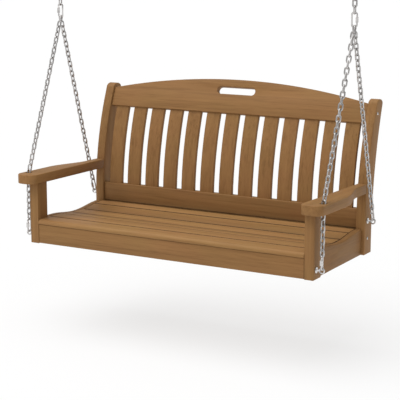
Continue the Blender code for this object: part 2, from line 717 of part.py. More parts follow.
# ---- Hangers and upper chains ----
def make_hangers():
    """Ceiling plates with a U-shaped staple whose bar lies along X."""
    for side, sign in SIDES:
        x = sign * CHAIN_X
        plate = place(f"{side}_ceiling_hanger",
                      box((x - PLATE_LENGTH / 2, x + PLATE_LENGTH / 2),
                          (HANG_Y - PLATE_WIDTH / 2, HANG_Y + PLATE_WIDTH / 2),
                          (CEILING - PLATE_THICKNESS, CEILING)), "ceiling", "fitting_steel")
        half = HANGER_BAR / 2
        corner = half * 0.5
        bend = [(x + half - corner * (1 - math.sin(a)), BAR_HEIGHT + corner * (1 - math.cos(a)))
                for a in steps(0, math.pi / 2, 4)]
        right_leg = [*bend, (x + half, CEILING - PLATE_THICKNESS / 2)]
        left_leg = [(2 * x - px, pz) for px, pz in reversed(right_leg)]
        staple = wire([Vector((px, HANG_Y, pz)) for px, pz in left_leg + right_leg],
                      Vector((0, 1, 0)), HANGER_WIRE / 2, 8, closed=False)
        combine(plate, place(f"{side}_staple", staple, "ceiling"), "UNION")


def make_upper_chains():
    up = Vector((0, 0, 1))
    x_axis, y_axis = Vector((1, 0, 0)), Vector((0, 1, 0))
    for side, sign in SIDES:
        x = sign * CHAIN_X
        make_quick_link(f"{side}_top_link", f"{side}_top_link",
                        Vector((x, HANG_Y, TOP_LINK_BOTTOM + QUICK_LENGTH / 2)), up, y_axis, -1)
        make_quick_link(f"{side}_junction_link", f"{side}_junction_link",
                        Vector((x, HANG_Y, HANG_HEIGHT + QUICK_LENGTH / 2)), up, x_axis, sign)
        low, high = joint_ends(UPPER_CHAIN_BOTTOM, UPPER_CHAIN_TOP)
        # Joints run upwards, so the bottom link lies in the YZ plane and the top one faces front.
        points = [Vector((x, HANG_Y, z)) for z in steps(low, high, UPPER_LINKS + 1)]
        make_chain(f"{side}_upper_chain", f"{side}_upper_chain", points)


def main():
    clear_scene()
    make_material("seat_lumber", (0.30, 0.17, 0.075), 0.55)
    make_material("back_lumber", (0.24, 0.13, 0.055), 0.55)
    make_material("frame_lumber", (0.27, 0.15, 0.065), 0.55)
    make_material("chain_zinc", (0.55, 0.55, 0.55), 0.30, 1.0)
    make_material("fitting_steel", (0.60, 0.60, 0.60), 0.25, 1.0)
    make_empties()
    make_seat_slats()
    make_seat_supports()
    make_side_rails()
    lower_rail = make_cross_rails()
    mortises = make_back_slats()
    crest = make_crest_rail()
    for rail in (lower_rail, crest):
        combine(rail, mortises, "DIFFERENCE")
    make_rear_posts()
    make_front_posts()
    make_arms()
    make_hanging_chains()
    make_eye_bolts()
    make_post_screws()
    make_hangers()
    make_upper_chains()


main()
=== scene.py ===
"""Porch swing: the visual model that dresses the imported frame.

The bench is built from solid lumber with softly rounded edges and a fine grain. It hangs on
welded link chain, connecting links and eye bolts, from two plates on the ceiling.
"""

import json
import logging
import math
from dataclasses import dataclass, field
from enum import Enum
from typing import Any, Iterable, Sequence

import bmesh
import bpy
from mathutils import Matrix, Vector


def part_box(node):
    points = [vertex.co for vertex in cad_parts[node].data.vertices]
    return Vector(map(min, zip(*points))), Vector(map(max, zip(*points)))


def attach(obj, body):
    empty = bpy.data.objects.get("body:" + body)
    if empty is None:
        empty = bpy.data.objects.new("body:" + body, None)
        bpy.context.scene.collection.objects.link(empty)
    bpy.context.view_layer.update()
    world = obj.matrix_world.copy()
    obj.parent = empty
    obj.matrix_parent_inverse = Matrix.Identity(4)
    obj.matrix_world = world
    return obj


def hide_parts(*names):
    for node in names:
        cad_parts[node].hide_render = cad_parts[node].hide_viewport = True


logging.basicConfig(level=logging.INFO, format="%(message)s")
LOG = logging.getLogger("porch_swing")

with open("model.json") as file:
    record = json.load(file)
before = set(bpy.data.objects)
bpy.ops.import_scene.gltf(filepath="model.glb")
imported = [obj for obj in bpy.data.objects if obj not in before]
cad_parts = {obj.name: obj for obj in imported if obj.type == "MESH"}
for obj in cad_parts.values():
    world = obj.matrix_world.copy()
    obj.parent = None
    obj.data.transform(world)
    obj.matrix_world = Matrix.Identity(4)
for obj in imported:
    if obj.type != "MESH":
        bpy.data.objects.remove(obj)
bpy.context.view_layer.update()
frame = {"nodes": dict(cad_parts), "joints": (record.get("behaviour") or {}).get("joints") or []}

SIDES: tuple[tuple[str, int], ...] = (("left", 1), ("right", -1))
UP = Vector((0, 0, 1))
ALONG_BENCH = Vector((1, 0, 0))
ACROSS_BENCH = Vector((0, 1, 0))
BOTH_ENDS = (ALONG_BENCH, -ALONG_BENCH)
GAP = 0.0003        # clearance between pieces that touch


# ---------------------------------------------------------------- shader maths

class Sock:
    """A node socket that takes part in Python arithmetic by adding Math nodes."""

    def __init__(self, tree: bpy.types.NodeTree, socket: bpy.types.NodeSocket) -> None:
        """Wrap a socket of a tree."""
        self.tree = tree
        self.socket = socket

    def _math(self, operation: str, first: Any, second: Any) -> "Sock":
        """Add a Math node on two values and return its result."""
        node = self.tree.nodes.new("ShaderNodeMath")
        node.operation = operation
        for slot, value in zip(node.inputs, (first, second)):
            if isinstance(value, Sock):
                self.tree.links.new(value.socket, slot)
            else:
                slot.default_value = float(value)
        return Sock(self.tree, node.outputs[0])

    def __add__(self, other: Any) -> "Sock":
        """Sum with a socket or a number."""
        return self._math("ADD", self, other)

    def __radd__(self, other: Any) -> "Sock":
        """Sum with a number on the left."""
        return self._math("ADD", other, self)

    def __sub__(self, other: Any) -> "Sock":
        """Difference with a socket or a number."""
        return self._math("SUBTRACT", self, other)

    def __rsub__(self, other: Any) -> "Sock":
        """Difference from a number on the left."""
        return self._math("SUBTRACT", other, self)

    def __mul__(self, other: Any) -> "Sock":
        """Product with a socket or a number."""
        return self._math("MULTIPLY", self, other)

    def __rmul__(self, other: Any) -> "Sock":
        """Product with a number on the left."""
        return self._math("MULTIPLY", other, self)


class Shader:
    """A material under construction, with one method that adds any node."""

    def __init__(self, name: str) -> None:
        """Make an empty node material with a Principled shader."""
        self.material = bpy.data.materials.new(name)
        self.material.use_nodes = True
        self.tree = self.material.node_tree
        self.surface = self.tree.nodes["Principled BSDF"]

    def node(self, kind: str, settings: dict[str, Any] | None = None,
             output: str | int = 0, **inputs: Any) -> Sock:
        """Add a node and return one of its outputs.

        Args:
            kind: the node's type without its ShaderNode prefix.
            settings: attributes set before any socket; stops sets a ramp's stops.
            output: name or index of the output wanted.
            **inputs: socket values or links; an underscore stands for a space.

        Returns:
            The chosen output.
        """
        node = self.tree.nodes.new("ShaderNode" + kind)
        for key, value in (settings or {}).items():
            if key == "stops":
                self._set_stops(node.color_ramp, value)
            else:
                setattr(node, key, value)
        for key, value in inputs.items():
            name = key.replace("_", " ")
            slot = next(s for s in node.inputs if s.name == name and s.enabled)
            self.feed(slot, value)
        return Sock(self.tree, node.outputs[output])

    @staticmethod
    def _set_stops(ramp: bpy.types.ColorRamp,
                   stops: Sequence[tuple[float, Sequence[float]]]) -> None:
        """Give a ramp its stops, as (position, colour)."""
        while len(ramp.elements) < len(stops):
            ramp.elements.new(0.5)
        for element, (position, colour) in zip(ramp.elements, stops):
            element.position = position
            element.color = (*colour, 1.0)

    def feed(self, slot: bpy.types.NodeSocket, value: Any) -> None:
        """Link a socket or set its value."""
        if isinstance(value, Sock):
            self.tree.links.new(value.socket, slot)
        else:
            slot.default_value = value

    def blend(self, factor: Any, first: Any, second: Any, mode: str = "MIX") -> Sock:
        """Mix two colours; the factor may be a socket."""
        node = self.tree.nodes.new("ShaderNodeMix")
        node.data_type = "RGBA"
        node.blend_type = mode
        for index, value in ((0, factor), (6, first), (7, second)):
            if not isinstance(value, (Sock, float, int)):
                value = (*value, 1.0)
            self.feed(node.inputs[index], value)
        return Sock(self.tree, node.outputs[2])

    def vector(self, operation: str, first: Any, second: Any) -> Sock:
        """Vector Math on two vectors."""
        node = self.tree.nodes.new("ShaderNodeVectorMath")
        node.operation = operation
        for slot, value in zip(node.inputs, (first, second)):
            self.feed(slot, value)
        return Sock(self.tree, node.outputs[0])

    def attribute(self, name: str) -> Sock:
        """A number stored on the mesh."""
        return self.node("Attribute", {"attribute_name": name}, output="Fac")

    def finish(self, **inputs: Any) -> bpy.types.Material:
        """Feed the Principled shader and return the material."""
        for key, value in inputs.items():
            self.feed(self.surface.inputs[key.replace("_", " ")], value)
        return self.material


# ---------------------------------------------------------------- finishes

class Grain(Enum):
    """The way a board's grain runs, as the noise's scale along X, Y and Z."""

    ALONG_BENCH = (1.0, 32.0, 32.0)
    FRONT_TO_BACK = (32.0, 1.4, 32.0)
    UPRIGHT = (32.0, 32.0, 0.8)


@dataclass(frozen=True)
class LumberFinish:
    """Satin timber with fine streaks along the board.

    Attributes:
        pale, mid, dark: colours of the streaks.
        shade: lightness of the boards: their own tone, and for the side rails painted shade on
            faces that turn away from the light; 1 is usual.
        roughness: middle value of the sheen.
        relief: height of the grain, in metres.
        drift: slow change of warmth from place to place, as its scale along X, Y and Z.
        joint, painted_gap_shade_depth: colour of the shade painted into the gaps between boards
            and under them, and how much of it shows.
        board_tints: tints of the first and last boards by number.
        place_tints: tints that a board drifts between.
        shine: strength of the mirror part of the sheen.
    """

    pale: tuple[float, float, float] = (0.320, 0.174, 0.068)
    mid: tuple[float, float, float] = (0.262, 0.139, 0.053)
    dark: tuple[float, float, float] = (0.178, 0.089, 0.032)
    shade: float = 1.0
    roughness: float = 0.52
    relief: float = 0.0003
    drift: tuple[float, float, float] = (2.0, 4.0, 4.0)
    # The joint colour is painted shade for the faces in gaps between boards and under them.
    joint: tuple[float, float, float] = (0.030, 0.014, 0.006)
    painted_gap_shade_depth: float = 0.85
    board_tints: tuple[tuple[float, ...], ...] = ((0.93, 0.92, 0.90), (1.05, 1.04, 1.03))
    place_tints: tuple[tuple[float, ...], ...] = ((1.05, 0.95, 0.97), (0.98, 1.03, 0.95))
    shine: float = 0.14

    def material(self, name: str, grain: Grain) -> bpy.types.Material:
        """Build the material for boards whose grain runs one way.

        Args:
            name: the material's name.
            grain: the way the grain runs.

        Returns:
            A material whose pattern is shifted by each board's own number.
        """
        shader = Shader(name)
        board = shader.attribute("board")
        place = shader.node("TexCoord", output="Object")
        shift = shader.node("CombineXYZ", X=board * 7.31, Y=board * 3.17, Z=board * 5.53)
        placed = shader.vector("ADD", place, shift)
        streaky = shader.vector("MULTIPLY", placed, grain.value)
        figure = shader.node("TexNoise", Vector=streaky, Scale=0.9, Detail=3.0, Distortion=0.6)
        bands = shader.node("TexNoise", Vector=streaky, Scale=3.2, Detail=4.0, Roughness=0.55,
                            Distortion=0.3)
        fibres = shader.node("TexNoise", Vector=streaky, Scale=12.0, Detail=3.0, Roughness=0.6)
        rings = shader.node("Math", {"operation": "SINE"}, Value=figure * 34.0)
        weave = bands * 0.40 + fibres * 0.30 + figure * 0.26 + rings * 0.025 + 0.02
        colour = shader.node("ValToRGB", {"stops": ((0.30, self.dark), (0.48, self.mid),
                                                    (0.70, self.pale))}, Fac=weave)
        tone = shader.blend(board, *(tuple(c * self.shade for c in tint)
                                     for tint in self.board_tints))
        colour = shader.blend(1.0, colour, tone, "MULTIPLY")
        drift = shader.node("TexNoise", Vector=shader.vector("MULTIPLY", placed, self.drift),
                            Scale=2.2, Detail=1.0)
        warmth = shader.blend(drift, *self.place_tints)
        colour = shader.blend(1.0, colour, warmth, "MULTIPLY")
        pores = shader.node("ValToRGB", {"stops": ((0.30, (1, 1, 1)), (0.40, (0, 0, 0)))},
                            Fac=fibres)
        colour = shader.blend(pores * 0.30, colour, self.dark)
        # Painted shade: where the joint mark is set, the colour turns toward the dark joint
        # colour.
        colour = shader.blend(shader.attribute("joint") * self.painted_gap_shade_depth, colour, self.joint)
        bump = shader.node("Bump", Height=fibres * 0.6 + bands * 0.4, Distance=self.relief,
                           Strength=0.55)
        return shader.finish(Base_Color=colour, Normal=bump,
                             Roughness=self.roughness + (bands - 0.5) * 0.22,
                             Specular_IOR_Level=self.shine)


@dataclass(frozen=True)
class SteelFinish:
    """Bright plated steel, faintly clouded.

    Attributes:
        bright, dull: colours of the plating.
        roughness: middle value of the polish.
        grain_scale: size of the clouding; higher is finer.
    """

    bright: tuple[float, float, float] = (0.63, 0.61, 0.60)
    dull: tuple[float, float, float] = (0.42, 0.41, 0.40)
    roughness: float = 0.30
    grain_scale: float = 140.0

    def material(self, name: str) -> bpy.types.Material:
        """Build the material; each link's own number shifts its tone."""
        shader = Shader(name)
        link = shader.attribute("link")
        place = shader.node("TexCoord", output="Object")
        cloud = shader.node("TexNoise", Vector=place, Scale=self.grain_scale, Detail=4.0)
        grit = shader.node("TexNoise", Vector=place, Scale=self.grain_scale * 9, Detail=2.0)
        wear = shader.node("ValToRGB", {"stops": ((0.35, (0, 0, 0)), (0.68, (1, 1, 1)))},
                           Fac=cloud * 0.8 + link * 0.2)
        colour = shader.blend(wear, self.bright, self.dull)
        bump = shader.node("Bump", Height=grit * 0.5 + cloud * 0.5, Distance=0.0003,
                           Strength=0.18)
        return shader.finish(Base_Color=colour, Metallic=1.0, Normal=bump,
                             Roughness=self.roughness + (cloud - 0.5) * 0.25)


@dataclass(frozen=True)
class FloorFinish:
    """Matt white studio floor."""

    colour: tuple[float, float, float] = (0.23, 0.23, 0.23)
    glow: float = 0.715

    def material(self) -> bpy.types.Material:
        """Build the floor's material."""
        shader = Shader("studio_floor")
        place = shader.node("TexCoord", output="Object")
        mottle = shader.node("TexNoise", Vector=place, Scale=0.6, Detail=1.0)
        colour = shader.blend(mottle, self.colour, tuple(c * 0.985 for c in self.colour))
        return shader.finish(Base_Color=colour, Roughness=0.9, Specular_IOR_Level=0.1,
                             Emission_Color=(1.0, 1.0, 1.0, 1.0), Emission_Strength=self.glow)


@dataclass(frozen=True)
class Finishes:
    """Every material of the swing."""

    bench_boards: bpy.types.Material
    seat_boards: bpy.types.Material
    upright_boards: bpy.types.Material
    slat_boards: bpy.types.Material
    arm_boards: bpy.types.Material
    shaded_side_boards: bpy.types.Material
    chain: bpy.types.Material
    fittings: bpy.types.Material

    @staticmethod
    def build() -> "Finishes":
        """Make the materials."""
        lumber = LumberFinish()
        return Finishes(
            bench_boards=lumber.material("lumber_along_bench", Grain.ALONG_BENCH),
            seat_boards=LumberFinish(pale=(0.322, 0.182, 0.072), mid=(0.264, 0.146, 0.056),
                                     shade=1.14).material("lumber_seat", Grain.ALONG_BENCH),
            upright_boards=LumberFinish(shade=1.05).material("lumber_upright", Grain.UPRIGHT),
            slat_boards=LumberFinish(shade=1.12).material("lumber_slats", Grain.UPRIGHT),
            arm_boards=lumber.material("lumber_front_to_back", Grain.FRONT_TO_BACK),
            # The side rails are darker as painted shade, for faces that turn away from the light.
            shaded_side_boards=LumberFinish(shade=0.88).material("lumber_sides", Grain.FRONT_TO_BACK),
            chain=SteelFinish(roughness=0.38).material("plated_chain"),
            fittings=SteelFinish(roughness=0.20, grain_scale=90.0).material("plated_fittings"),
        )


# ---------------------------------------------------------------- mesh tools

def steps(low: float, high: float, count: int) -> list[float]:
    """Evenly spaced values from low to high, both included."""
    return [low + (high - low) * i / (count - 1) for i in range(count)]


def new_object(name: str, data: bpy.types.ID) -> bpy.types.Object:
    """Link a new object at the origin, made from a mesh, a lamp or a camera."""
    obj = bpy.data.objects.new(name, data)
    bpy.context.scene.collection.objects.link(obj)
    return obj


def mesh_of(bm: bmesh.types.BMesh, name: str) -> bpy.types.Mesh:
    """Turn a bmesh into a mesh with its faces pointing out, and free it."""
    bmesh.ops.recalc_face_normals(bm, faces=bm.faces)
    mesh = bpy.data.meshes.new(name)
    bm.to_mesh(mesh)
    bm.free()
    return mesh


def bake(obj: bpy.types.Object) -> bpy.types.Object:
    """Apply an object's modifiers into a plain mesh and clear them."""
    graph = bpy.context.evaluated_depsgraph_get()
    mesh = bpy.data.meshes.new_from_object(obj.evaluated_get(graph))
    old = obj.data
    obj.modifiers.clear()
    obj.data = mesh
    mesh.name = obj.name
    bpy.data.meshes.remove(old)
    return obj


def loft(bm: bmesh.types.BMesh, rings: Sequence[Sequence[Vector]], closed: bool = False) -> None:
    """Skin equal rings of points into a bmesh; an open run is capped at both ends."""
    loops = [[bm.verts.new(point) for point in ring] for ring in rings]
    pairs = list(zip(loops, loops[1:]))
    if closed:
        pairs.append((loops[-1], loops[0]))
    else:
        bm.faces.new(loops[0])
        bm.faces.new(loops[-1])
    for near, far in pairs:
        for i in range(len(near)):
            j = (i + 1) % len(near)
            bm.faces.new((near[i], near[j], far[j], far[i]))


def sweep(bm: bmesh.types.BMesh, path: Sequence[Vector], normal: Vector, radius: float,
          sides: int, closed: bool = True) -> None:
    """Round wire along a flat path."""
    rings = []
    for i, point in enumerate(path):
        ahead = path[(i + 1) % len(path)] if closed or i + 1 < len(path) else point
        behind = path[i - 1] if closed or i > 0 else point
        across = (ahead - behind).normalized().cross(normal).normalized()
        rings.append([point + radius * (math.cos(a) * across + math.sin(a) * normal)
                      for a in steps(0, math.tau, sides + 1)[:-1]])
    loft(bm, rings, closed)


def turned(bm: bmesh.types.BMesh, start: Vector, axis: Vector,
           profile: Sequence[tuple[float, float]], sides: int) -> None:
    """Solid of revolution from (distance along the axis, radius) points."""
    across = axis.orthogonal().normalized()
    up = axis.cross(across)
    rings = []
    for along, radius in profile:
        rings.append([start + along * axis + radius * (math.cos(a) * across + math.sin(a) * up)
                      for a in steps(0, math.tau, sides + 1)[:-1]])
    loft(bm, rings)


def cut(obj: bpy.types.Object, bm: bmesh.types.BMesh, crossing: bool = False) -> None:
    """Cut a solid out of an object; crossing allows for a solid that overlaps itself."""
    cutter = new_object("cutter", mesh_of(bm, "cutter"))
    hole = obj.modifiers.new("hole", "BOOLEAN")
    hole.operation, hole.solver, hole.object = "DIFFERENCE", "EXACT", cutter
    hole.use_self = crossing
    bake(obj)
    bpy.data.objects.remove(cutter)


def smooth(mesh: bpy.types.Mesh, angle: float = 35.0) -> None:
    """Shade smooth, with edges sharper than an angle in degrees kept crisp."""
    mesh.shade_smooth()
    mesh.set_sharp_from_angle(angle=math.radians(angle))


def dress(obj: bpy.types.Object, material: bpy.types.Material, body: str,
          nodes: Iterable[str]) -> None:
    """Give a finished piece its material and body, and hide the nodes it stands for.

    Args:
        obj: the finished piece.
        material: its only material.
        body: the body it rides on.
        nodes: the CAD nodes it replaces.
    """
    obj.data.materials.clear()
    obj.data.materials.append(material)
    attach(obj, body)
    names = list(nodes)
    if names:
        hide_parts(*names)
    LOG.info("%s: %d faces on %s, for %d nodes", obj.name, len(obj.data.polygons), body,
             len(names))


def joint(name: str) -> Vector:
    """Position of a joint of the frame."""
    return Vector(next(j["pos_m"] for j in frame["joints"] if j["name"] == name))


def middle(node: str) -> Vector:
    """Middle of a frame node's box."""
    low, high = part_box(node)
    return (low + high) / 2


def outer_face(node: str) -> float:
    """X of the face of a frame node's box that looks away from the bench."""
    return max((corner.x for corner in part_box(node)), key=abs)


# ---------------------------------------------------------------- lumber

@dataclass
class Lumber:
    """Boards with eased edges, worked from the frame's own boards.

    Attributes:
        easing: radius of the eased edges.
        shortest: edges shorter than this belong to bores and stay crisp.
        fold: edges that turn by less than this, in degrees, stay as they are.
        rounds: segments across an eased edge.
        ramp: how much more squarely a face must look to take the painted shade in full.
    """

    easing: float = 0.0028
    shortest: float = 0.0045
    fold: float = 32.0
    rounds: int = 3
    ramp: float = 0.3

    def board(self, node: str) -> bmesh.types.BMesh:
        """A merged copy of a frame node with its flat faces whole."""
        bm = bmesh.new()
        bm.from_mesh(frame["nodes"][node].data)
        bmesh.ops.remove_doubles(bm, verts=bm.verts, dist=1e-5)
        bmesh.ops.dissolve_limit(bm, angle_limit=math.radians(0.6), verts=bm.verts,
                                 edges=bm.edges, delimit={"NORMAL"})
        return bm

    def ease(self, name: str, boards: Sequence[bmesh.types.BMesh], first: int = 0,
             easing: float | None = None) -> bpy.types.Object:
        """Join boards into one piece, number them and round their edges.

        Args:
            name: the piece's name.
            boards: one bmesh for each board; they are freed.
            first: number of the first board, which sets its grain and tone.
            easing: radius for these boards, where it isn't the usual one.

        Returns:
            The piece as a plain mesh.
        """
        whole = bmesh.new()
        number = whole.verts.layers.float.new("board")
        weight = whole.edges.layers.float.new("bevel_weight_edge")
        for index, board in enumerate(boards):
            mesh = bpy.data.meshes.new("one_board")
            board.to_mesh(mesh)
            board.free()
            before = len(whole.verts)
            whole.from_mesh(mesh)
            bpy.data.meshes.remove(mesh)
            whole.verts.ensure_lookup_table()
            for vert in whole.verts[before:]:
                vert[number] = ((first + index) * 0.618034) % 1.0
        for edge in whole.edges:
            if len(edge.link_faces) == 2 and edge.calc_length() > self.shortest:
                if edge.calc_face_angle(0.0) > math.radians(self.fold):
                    edge[weight] = 1.0
        obj = new_object(name, mesh_of(whole, name))
        bevel = obj.modifiers.new("eased_edges", "BEVEL")
        bevel.limit_method = "WEIGHT"
        bevel.width = easing or self.easing
        bevel.segments = self.rounds
        bevel.use_clamp_overlap = False
        bevel.miter_outer = "MITER_ARC"
        bevel.harden_normals = False
        bake(obj)
        smooth(obj.data, 30.0)
        return obj

    def paint_shade(self, obj: bpy.types.Object, ways: Sequence[Vector],
               keep: tuple[Vector, float] | None = None, reach: float = 0.55) -> None:
        """Paint shade on the faces that look given ways, where boards meet or overhang, so that
        the gaps read as dark lines.

        Args:
            obj: the piece.
            ways: directions that the faces with painted shade look in.
            keep: a direction and a distance; faces beyond it that way get no painted shade.
            reach: how squarely a face must look that way; lower takes in more of the rounding.
        """
        count = len(obj.data.vertices)
        shade_marks = [0.0] * count
        for vert in obj.data.vertices:
            shown = keep is not None and vert.co.dot(keep[0]) > keep[1]
            facing = max(vert.normal.dot(way) for way in ways)
            if not shown and facing > reach:
                shade_marks[vert.index] = min(1.0, (facing - reach) / self.ramp)
        # The joint attribute holds the painted shade of each vertex.
        layer = obj.data.attributes.new("joint", "FLOAT", "POINT")
        layer.data.foreach_set("value", shade_marks)

    def fit(self, name: str, nodes: Sequence[str], first: int, material: bpy.types.Material,
            easing: float | None = None, slot: str = "frame_lumber",
            joints: Sequence[Vector] = (), reach: float = 0.55) -> None:
        """Make a piece of the bench from the boards of some nodes.

        Args:
            name: the piece's name.
            nodes: the frame's boards.
            first: number of the first board.
            material: the piece's finish.
            easing: radius of its edges, where it isn't the usual one.
            slot: not used.
            joints: directions of its faces that get painted shade where they meet other boards.
            reach: how squarely they must look that way.
        """
        piece = self.ease(name, [self.board(n) for n in nodes], first, easing)
        if joints:
            self.paint_shade(piece, joints, reach=reach)
        dress(piece, material, "bench", nodes)


@dataclass
class Seat:
    """The dished seat: six slats, the apron and what carries them.

    Attributes:
        slats: how many there are.
        rear_gap: how much the last slat is planed back, which leaves a gap before the rail.
        nose: depth of the first slat's rounded front, which gets no painted shade.
    """

    finishes: Finishes
    lumber: Lumber = field(default_factory=Lumber)
    slats: int = 6
    rear_gap: float = 0.018
    nose: float = 0.02

    def planed(self, node: str) -> bmesh.types.BMesh:
        """The last slat, with its rear edge planed back."""
        board = self.lumber.board(node)
        low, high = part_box(node)
        for vert in board.verts:
            if vert.co.y > (low.y + 3 * high.y) / 4:
                vert.co.y -= self.rear_gap
        return board

    def build(self) -> None:
        """Make the slats, the cross boards and the supports."""
        names = [f"seat_slat_{i + 1}" for i in range(self.slats)]
        boards = [self.lumber.board(n) for n in names[:-1]] + [self.planed(names[-1])]
        piece = self.lumber.ease("seat_boards", boards, 1, 0.0024)
        # Painted shade on the slats' sides and ends, along the gaps between them; the first slat's
        # nose is left without it.
        unshaded_front = (-ACROSS_BENCH, -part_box(names[0])[0].y - self.nose)
        self.lumber.paint_shade(piece, [ACROSS_BENCH, -ACROSS_BENCH, *BOTH_ENDS], unshaded_front, 0.15)
        dress(piece, self.finishes.seat_boards, "bench", names)
        # Painted shade on the aprons' tops and ends, where the slats and side rails meet them.
        self.lumber.fit("seat_aprons", ["front_apron", "rear_seat_rail"], 11,
                        self.finishes.bench_boards, 0.0018, "seat_lumber",
                        (UP, *BOTH_ENDS), 0.35)
        self.lumber.fit("seat_bearers", ["left_seat_cleat", "right_seat_cleat",
                                         "centre_seat_support"], 17, self.finishes.arm_boards)
        # Painted shade on the side rails' front and rear ends, where they meet the posts.
        self.lumber.fit("seat_side_rails", ["left_side_rail", "right_side_rail"], 21,
                        self.finishes.shaded_side_boards, joints=(ACROSS_BENCH, -ACROSS_BENCH))


@dataclass
class EndFrames:
    """The posts and arms at both ends of the bench."""

    finishes: Finishes
    lumber: Lumber = field(default_factory=Lumber)

    def build(self) -> None:
        """Make the posts and the arms."""
        posts = [f"{side}_{end}_post" for side, _ in SIDES for end in ("front", "rear")]
        self.lumber.fit("posts", posts, 31, self.finishes.upright_boards)
        self.lumber.fit("arms", ["left_arm", "right_arm"], 41, self.finishes.arm_boards, 0.0036)


# ---------------------------------------------------------------- geometry nodes

class Tree:
    """A Geometry Nodes tree under construction."""

    def __init__(self, name: str, **sizes: tuple[str, Any]) -> None:
        """Make a tree that takes a shape, its sizes and a material.

        Args:
            name: the tree's name.
            **sizes: type and usual value of each input, with an underscore for a space.
        """
        self.group = bpy.data.node_groups.new(name, "GeometryNodeTree")
        self.group.interface.new_socket("Geometry", in_out="OUTPUT",
                                        socket_type="NodeSocketGeometry")
        for key, (kind, value) in {"Geometry": ("Geometry", None), **sizes,
                                   "Material": ("Material", None)}.items():
            socket = self.group.interface.new_socket(key.replace("_", " "), in_out="INPUT",
                                                     socket_type=f"NodeSocket{kind}")
            if value is not None:
                socket.default_value = value
        self.entry = self.group.nodes.new("NodeGroupInput")
        self.exit = self.group.nodes.new("NodeGroupOutput")

    def given(self, name: str) -> bpy.types.NodeSocket:
        """One of the tree's inputs."""
        return self.entry.outputs[name]

    def node(self, kind: str, settings: dict[str, Any] | None = None,
             output: str | int = 0, **inputs: Any) -> bpy.types.NodeSocket:
        """Add a node, with its settings first and then its sockets' values or links.

        Args:
            kind: full type name of the node.
            settings: attributes to set.
            output: name or index of the output wanted.
            **inputs: by socket name, with an underscore for a space, or i0, i1 by place.

        Returns:
            The chosen output.
        """
        node = self.group.nodes.new(kind)
        for key, value in (settings or {}).items():
            setattr(node, key, value)
        for key, value in inputs.items():
            if key[0] == "i" and key[1:].isdigit():
                slot = node.inputs[int(key[1:])]
            else:
                name = key.replace("_", " ")
                slot = next(s for s in node.inputs if s.name == name and s.enabled)
            if isinstance(value, bpy.types.NodeSocket):
                self.group.links.new(value, slot)
            else:
                slot.default_value = value
        return node.outputs[output]

    def math(self, operation: str, *values: Any) -> bpy.types.NodeSocket:
        """Math node on two or three values."""
        slots = {f"i{place}": value for place, value in enumerate(values)}
        return self.node("ShaderNodeMath", {"operation": operation}, **slots)

    def spun(self, rotation: bpy.types.NodeSocket,
             angle: bpy.types.NodeSocket) -> bpy.types.NodeSocket:
        """A rotation turned further about its own Z."""
        spin = self.node("FunctionNodeAxisAngleToRotation", Axis=(0.0, 0.0, 1.0), Angle=angle)
        return self.node("FunctionNodeRotateRotation", {"rotation_space": "LOCAL"},
                         Rotation=rotation, Rotate_By=spin)

    def numbered(self, shape: bpy.types.NodeSocket, attribute: str) -> bpy.types.NodeSocket:
        """Store a random number, drawn from Seed, on each instance."""
        number = self.node("FunctionNodeRandomValue", {"data_type": "FLOAT"}, 1,
                           Seed=self.given("Seed"))
        return self.node("GeometryNodeStoreNamedAttribute",
                         {"data_type": "FLOAT", "domain": "INSTANCE"}, Geometry=shape,
                         Name=attribute, Value=number)

    def end(self, shape: bpy.types.NodeSocket) -> bpy.types.NodeTree:
        """Realize the instances, set the material and close the tree."""
        real = self.node("GeometryNodeRealizeInstances", Geometry=shape)
        done = self.node("GeometryNodeSetMaterial", Geometry=real,
                         Material=self.given("Material"))
        self.group.links.new(done, self.exit.inputs[0])
        return self.group


def grow(name: str, mesh: bpy.types.Mesh, tree: bpy.types.NodeTree,
         **sizes: Any) -> bpy.types.Object:
    """Run a Geometry Nodes tree on a mesh and keep the result as a plain mesh.

    Args:
        name: the new object's name.
        mesh: what the tree works on.
        tree: the tree.
        **sizes: values of its named inputs, with an underscore for a space.

    Returns:
        An object with no modifiers.
    """
    obj = new_object(name, mesh)
    modifier = obj.modifiers.new(tree.name, "NODES")
    modifier.node_group = tree
    sockets = {item.name: item.identifier for item in tree.interface.items_tree
               if item.in_out == "INPUT"}
    for key, value in sizes.items():
        modifier[sockets[key.replace("_", " ")]] = value
    return bake(obj)


def points_mesh(name: str, points: Sequence[Vector], joined: bool = False) -> bpy.types.Mesh:
    """A mesh of bare points, or of the line through them."""
    mesh = bpy.data.meshes.new(name)
    edges = [(i, i + 1) for i in range(len(points) - 1)] if joined else []
    mesh.from_pydata([tuple(p) for p in points], edges, [])
    return mesh


def slat_row_tree() -> bpy.types.NodeTree:
    """Tree that sets one slat on each of a row of points and numbers the slats."""
    tree = Tree("slat_row", Slat=("Object", None), Count=("Int", 13), Pitch=("Float", 0.0889),
                Seed=("Int", 4))
    count, pitch = tree.given("Count"), tree.given("Pitch")
    span = tree.math("MULTIPLY", tree.math("SUBTRACT", count, 1.0), pitch)
    start = tree.node("ShaderNodeCombineXYZ", X=tree.math("MULTIPLY", span, -0.5))
    offset = tree.node("ShaderNodeCombineXYZ", X=pitch)
    row = tree.node("GeometryNodeMeshLine", {"mode": "OFFSET"}, Count=count,
                    Start_Location=start, Offset=offset)
    slat = tree.node("GeometryNodeObjectInfo", output="Geometry", Object=tree.given("Slat"))
    placed = tree.node("GeometryNodeInstanceOnPoints", Points=row, Instance=slat)
    return tree.end(tree.numbered(placed, "board"))


# ---------------------------------------------------------------- the back

